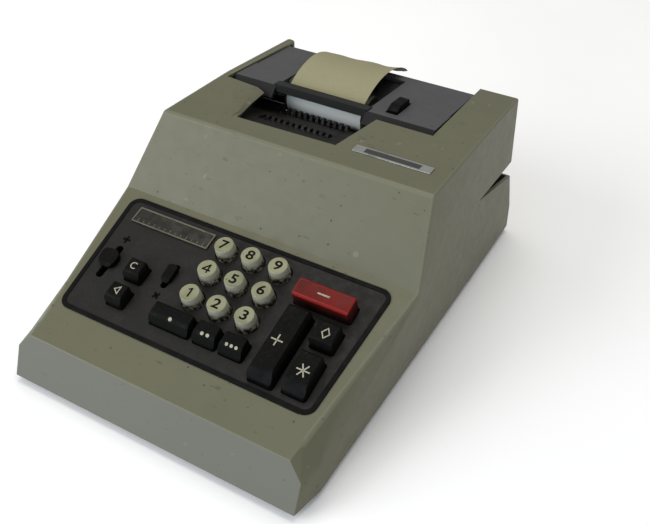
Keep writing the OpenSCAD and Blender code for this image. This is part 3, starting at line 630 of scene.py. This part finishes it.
def seat(name, u, v):
    """Frame on a piece's upper face at a place of the deck, in millimetres across and up the slope."""
    start = DECK @ Vector((u / 1000, v / 1000, RAY_HEIGHT))
    hit, normal, _, _ = tree_of(name).ray_cast(start, -DECK_UP)
    across = DECK.to_3x3() @ Vector((1, 0, 0))
    up = normal.cross(across).normalized()
    across = up.cross(normal).normalized()
    turn = Matrix((across, up, normal)).transposed().to_4x4()
    return Matrix.Translation(hit) @ turn


def plate(outlines, depth=MARK_DEPTH):
    """Thin solid from flat outlines in millimetres."""
    bm = bmesh.new()
    for pts in outlines:
        low = [bm.verts.new((x / 1000, y / 1000, -depth / 2000)) for x, y in pts]
        top = [bm.verts.new((x / 1000, y / 1000, depth / 2000)) for x, y in pts]
        bm.faces.new(top)
        bm.faces.new(low[::-1])
        n = len(pts)
        for i in range(n):
            bm.faces.new((low[i], low[(i + 1) % n], top[(i + 1) % n], top[i]))
    mesh = bpy.data.meshes.new("mark")
    bm.to_mesh(mesh)
    bm.free()
    return mesh


def bar(x, y, length, width, turn=0.0):
    """Outline of a straight bar about its middle, turned by an angle in degrees."""
    c, s = math.cos(math.radians(turn)), math.sin(math.radians(turn))
    a, b = length / 2, width / 2
    return [(x + p * c - q * s, y + p * s + q * c) for p, q in ((-a, -b), (a, -b), (a, b), (-a, b))]


def disc(x, r, n=24):
    """Outline of a round dot at a place across."""
    return [(x + r * math.cos(2 * math.pi * i / n), r * math.sin(2 * math.pi * i / n)) for i in range(n)]


def ring(pts_out, pts_in):
    """Outline band between two matching loops, as one outline per side."""
    n = len(pts_out)
    return [[pts_out[i], pts_out[(i + 1) % n], pts_in[(i + 1) % n], pts_in[i]] for i in range(n)]


def figure(text, size, bold, wide=1.0):
    """Figure as a thin centred mesh, with strokes wider on each side by bold, drawn out across by wide."""
    curve = bpy.data.curves.new("figure", "FONT")
    curve.body = text
    curve.size = size / 1000
    curve.extrude = MARK_DEPTH / 2000
    curve.offset = bold / 1000
    curve.align_x = "CENTER"
    curve.align_y = "CENTER"
    ob = bpy.data.objects.new("figure", curve)
    scene.collection.objects.link(ob)
    graph = bpy.context.evaluated_depsgraph_get()
    mesh = bpy.data.meshes.new_from_object(ob.evaluated_get(graph))
    bpy.data.objects.remove(ob)
    xs = [v.co.x for v in mesh.vertices]
    ys = [v.co.y for v in mesh.vertices]
    mesh.transform(Matrix.Translation((-(min(xs) + max(xs)) / 2, -(min(ys) + max(ys)) / 2, 0)))
    mesh.transform(Matrix.Diagonal((wide, 1, 1, 1)))
    return mesh


def mark(name, on, u, v, mesh, ink):
    """Lays a thin mark on a piece's upper face and bends it to that face."""
    place = seat(on, u, v)
    normal = place.to_3x3() @ Vector((0, 0, 1))
    bm = bmesh.new()
    bm.from_mesh(mesh)
    bmesh.ops.triangulate(bm, faces=bm.faces)
    bmesh.ops.subdivide_edges(bm, edges=[e for e in bm.edges if e.calc_length() > MARK_STEP], cuts=2)
    bmesh.ops.triangulate(bm, faces=bm.faces)
    for vert in bm.verts:
        over = vert.co.z > 0
        spot = place @ Vector((vert.co.x, vert.co.y, 0))
        hit = tree_of(on).ray_cast(spot + normal * NEAR_HEIGHT, -normal)[0]
        vert.co = (hit or spot) + normal * (MARK_DEPTH if over else -MARK_DEPTH) / 2000
    bm.to_mesh(mesh)
    bm.free()
    add("mark_" + name, mesh, [ink], NODE_BODY[on])


# Figures of the number keys: size and added stroke in millimetres, and how far they are drawn out across.
# Figures 1 and 4 are made of straight bars.
FIGURE_SIZE = 9.4
FIGURE_BOLD = 0.2
FIGURE_WIDE = 1.22
BAR_FIGURES = {
    1: [bar(0.4, 0, 6.8, 1.2, 90), bar(-0.6, 2.4, 2.6, 1.0, 35)],
    4: [bar(1.2, 0, 6.8, 1.1, 90), bar(0, -1.3, 6.2, 1.1), bar(-0.7, 0.9, 5.9, 1.1, 49)],
}
for digit in range(1, 10):
    if digit in BAR_FIGURES:
        shape = plate(BAR_FIGURES[digit])
    elif digit == 6:
        shape = figure("9", FIGURE_SIZE, FIGURE_BOLD, FIGURE_WIDE)
        shape.transform(Matrix.Rotation(math.pi, 4, "Z"))
    else:
        shape = figure(str(digit), FIGURE_SIZE, FIGURE_BOLD, FIGURE_WIDE)
    mark("figure_%d" % digit, "key_%d" % digit, key_u(digit - 1), key_v(digit - 1), shape, INK_DARK)

# Signs: piece, place on the deck and outlines in millimetres
DIAMOND = ([(0, -4.1), (3, 0), (0, 4.1), (-3, 0)], [(0, -2.9), (2.1, 0), (0, 2.9), (-2.1, 0)])
DELTA = ([(-2.9, 0), (1.5, -3.3), (1.5, 3.3)], [(-1.8, 0), (0.85, -2), (0.85, 2)])
KEY_SIGNS = (
    ("dot_zero", "key_zero", -14.7, 44.4, [disc(0, 1.3)]),
    ("dots_double", "key_double_zero", 11.4, 44.4, [disc(-2, 1.2), disc(2, 1.2)]),
    ("dots_triple", "key_triple_zero", 30.8, 44.4, [disc(-3.4, 1.1), disc(0, 1.1), disc(3.4, 1.1)]),
    ("plus", "plus_bar", 55.2, 58.1, [bar(0, 0, 8, 0.9), bar(0, 0, 8, 0.9, 90)]),
    ("minus", "minus_bar", 66, 96, [bar(0, 0, 8.4, 1.1)]),
    ("star", "total_key", 79, 47.4, [bar(0, 0, 8.8, 0.85, turn) for turn in (0, 60, 120)]),
    ("diamond", "subtotal_key", 79, 74.4, ring(*DIAMOND)),
    ("delta", "correction_key", -58.6, 48.1, ring(*DELTA)),
)
for name, node, u, v, outlines in KEY_SIGNS:
    mark(name, node, u, v, plate(outlines), INK_PALE)
mark("clear", "clear_key", -60.4, 68, figure("C", 7, 0.04), INK_PALE)

PANEL_SIGNS = (
    ("panel_plus", -84.2, 87.5, [bar(0, 0, 6.2, 1.8), bar(0, 0, 6.2, 1.8, 90)]),
    ("panel_times", -38.3, 58.4, [bar(0, 0, 5.6, 1.8, 45), bar(0, 0, 5.6, 1.8, -45)]),
)
for name, u, v, outlines in PANEL_SIGNS:
    mark(name, "keyboard_panel", u, v, plate(outlines), INK_BLACK)

# Window: thirteen short lines, every third one longer
TICK_PITCH = 4.5
ticks = [bar((i - 6) * TICK_PITCH, 0, 0.5, 1.8 if i % 3 else 2.8) for i in range(13)]
mark("window_ticks", "indicator_lens", -59.5, 104.4, plate(ticks), RIM)

# Blank field on the badge plate: length, width, depth and place
FIELD_SIZE = (40, 5.2, 0.08)
FIELD_AT = (62.5, 191, 118.7)
field = plate([bar(0, 0, *FIELD_SIZE[:2])], FIELD_SIZE[2])
field.transform(Matrix.Translation(at(*FIELD_AT)))
add("badge_field", field, [FIELD], "case")

# Dark plate that carries the type guide on back beside the platen; it blocks the view through that opening
# to the floor and fills it with painted shade: place, slope and outline
SHADE_PLATE_AT = (0, 247, 95)
SHADE_PLATE_SLOPE = math.radians(-15.5)
SHADE_PLATE_OUTLINE = bar(-76.6, 7.5, 34, 21)
SHADE_PLATE_THICK = 2
shade_plate = plate([SHADE_PLATE_OUTLINE], SHADE_PLATE_THICK)
shade_plate.transform(Matrix.Translation((0, 0, -SHADE_PLATE_THICK / 2000)))
shade_plate.transform(Matrix.Translation(at(*SHADE_PLATE_AT)) @ Matrix.Rotation(SHADE_PLATE_SLOPE, 4, "X"))
add("shade_plate_beside_platen", shade_plate, [PANEL], NODE_BODY["type_guide"])


# Paper strip: up round the platen, over the cover in a loose arch, torn off behind

# Sides of the strip, then the platen and the arch in side view, in millimetres and radians
PAPER_X = (-55.0, 8.0)
PAPER_GAP = 0.15
PLATEN = (265.0, 102.0)
PLATEN_R = 14.1
WRAP_START = math.radians(255)
LIFT = math.radians(124)
ARCH_R = 58.0
ARCH_END = math.radians(47)
WRAP = (PLATEN_R + PAPER_GAP) * (WRAP_START - LIFT)
ARCH = (ARCH_R + PAPER_GAP) * (LIFT - ARCH_END)
ARCH_MID = (
    PLATEN[0] + (PLATEN_R - ARCH_R) * math.cos(LIFT),
    PLATEN[1] + (PLATEN_R - ARCH_R) * math.sin(LIFT),
)

# Steps across and along the strip, its thickness, and how far its torn end slants and falls short
PAPER_COLS = 40
PAPER_ROWS = 110
PAPER_THICK = 0.00016
TORN_SLANT = 9
TORN_SHORT = 1.5

# Length behind the platen where the waves begin, and over which they grow
WAVE_FROM = 12
WAVE_GROWS = 60


def paper_path(s):
    """Place in the paper's side view at a length s, outward direction, and length behind the platen."""
    if s < WRAP:
        mid = PLATEN
        r = PLATEN_R + PAPER_GAP
        a = WRAP_START - s / r
    else:
        mid = ARCH_MID
        r = ARCH_R + PAPER_GAP
        a = LIFT - (s - WRAP) / r
    return mid[0] + r * math.cos(a), mid[1] + r * math.sin(a), math.cos(a), math.sin(a), s - WRAP


def make_paper():
    """Strip with a torn end, soft waves and a lifted corner."""
    bm = bmesh.new()
    grid = []
    for i in range(PAPER_COLS + 1):
        f = i / PAPER_COLS
        x = PAPER_X[0] + (PAPER_X[1] - PAPER_X[0]) * f
        tear = 2.2 * noise.noise(Vector((f * 9, 0, 3))) + 0.9 * noise.noise(Vector((f * 31, 0, 7)))
        end = WRAP + ARCH - TORN_SLANT * (1 - f) ** 1.5 + tear - TORN_SHORT
        line = []
        for j in range(PAPER_ROWS + 1):
            y, z, ny, nz, free = paper_path(end * j / PAPER_ROWS)
            k = max(0.0, min(1.0, (free - WAVE_FROM) / WAVE_GROWS))
            wave = k * (0.5 * math.sin(f * 11 + 0.6) + 1.3 * noise.noise(Vector((f * 4, j / 30, 1))))
            curl = k * k * (48 * max(0.0, f - 0.75) ** 2 - 1.2 * (1 - f))
            off = wave * 0.8 + curl
            line.append(bm.verts.new(at(x, y + ny * off, z + nz * off)))
        grid.append(line)
    for i in range(PAPER_COLS):
        for j in range(PAPER_ROWS):
            bm.faces.new((grid[i][j], grid[i + 1][j], grid[i + 1][j + 1], grid[i][j + 1]))
    mesh = bpy.data.meshes.new("paper")
    bm.to_mesh(mesh)
    bm.free()
    ob = add("paper_sheet", mesh, [PAPER])
    sol = ob.modifiers.new("thick", "SOLIDIFY")
    sol.thickness = PAPER_THICK
    sol.offset = 0
    baked(ob)
    smooth(ob.data, 40)
    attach(ob, "case")
    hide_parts("paper_strip")


make_paper()


# Stage, light and camera

FLOOR_SIZE = 8
FLOOR_CELLS = 24
FLOOR_Z = -0.0002


def make_stage():
    """Wide pale floor."""
    bm = bmesh.new()
    n = FLOOR_CELLS
    for i in range(n + 1):
        for j in range(n + 1):
            bm.verts.new(((i / n - 0.5) * FLOOR_SIZE, (j / n - 0.5) * FLOOR_SIZE, FLOOR_Z))
    bm.verts.ensure_lookup_table()
    for i in range(n):
        for j in range(n):
            a = i * (n + 1) + j
            bm.faces.new((bm.verts[a], bm.verts[a + n + 1], bm.verts[a + n + 2], bm.verts[a + 1]))
    mesh = bpy.data.meshes.new("floor")
    bm.to_mesh(mesh)
    bm.free()
    g = Graph("floor_pale")
    color = g.mix(g.span(g.noise(3, 3), 0.3, 0.7), lin((252, 252, 252)), lin((249, 249, 249)))
    floor = add("floor", mesh, [g.done(color, 0.9, spec=0.1)])


# Lights that look at one point: place and size in metres, power in watts, tint
LIGHT_AIM = Vector((0, 0, 0.05))
LIGHTS = (
    ("key", (-1.2, -1.35, 1.0), 1.4, 24, (0.96, 0.98, 1.0)),
    ("low", (-0.3, -2.4, 0.35), 1.2, 24, (0.72, 0.86, 1.0)),
    ("fill", (1.7, -0.7, 1.1), 1.6, 4, (1, 1, 1)),
    ("top", (-0.1, 0.5, 2.1), 1.8, 22, (1.0, 0.97, 0.9)),
)

make_stage()
for name, place, size, power, tint in LIGHTS:
    data = bpy.data.lights.new(name, "AREA")
    data.shape = "DISK"
    data.size = size
    data.energy = power
    data.color = tint
    ob = bpy.data.objects.new(name, data)
    scene.collection.objects.link(ob)
    ob.location = place
    ob.rotation_euler = (LIGHT_AIM - Vector(place)).to_track_quat("-Z", "Y").to_euler()
world = bpy.data.worlds.new("studio")
world.use_nodes = True
background = world.node_tree.nodes["Background"]
background.inputs["Color"].default_value = (0.95, 0.97, 1.0, 1)
background.inputs["Strength"].default_value = 0.42
scene.world = world
scene.view_settings.view_transform = "Standard"
scene.view_settings.look = "None"

# Camera: place in metres, heading, tilt and roll in degrees, focal length in widths of the picture
CAMERA_AT = (0.252518, -0.407021, 0.402415)
HEADING = 28.743
TILT_DOWN = 37.7617
ROLL = 1.8085
FOCAL = 843.33 / 650
SENSOR = 36
cam_data = bpy.data.cameras.new("camera")
cam_data.sensor_fit = "HORIZONTAL"
cam_data.sensor_width = SENSOR
cam_data.lens = FOCAL * SENSOR
cam_data.clip_start = 0.01
cam = bpy.data.objects.new("camera", cam_data)
scene.collection.objects.link(cam)
heading = Matrix.Rotation(math.radians(HEADING), 4, "Z")
tilt = Matrix.Rotation(math.radians(90 - TILT_DOWN), 4, "X")
roll = Matrix.Rotation(math.radians(ROLL), 4, "Z")
cam.matrix_world = Matrix.Translation(CAMERA_AT) @ heading @ tilt @ roll
scene.camera = cam
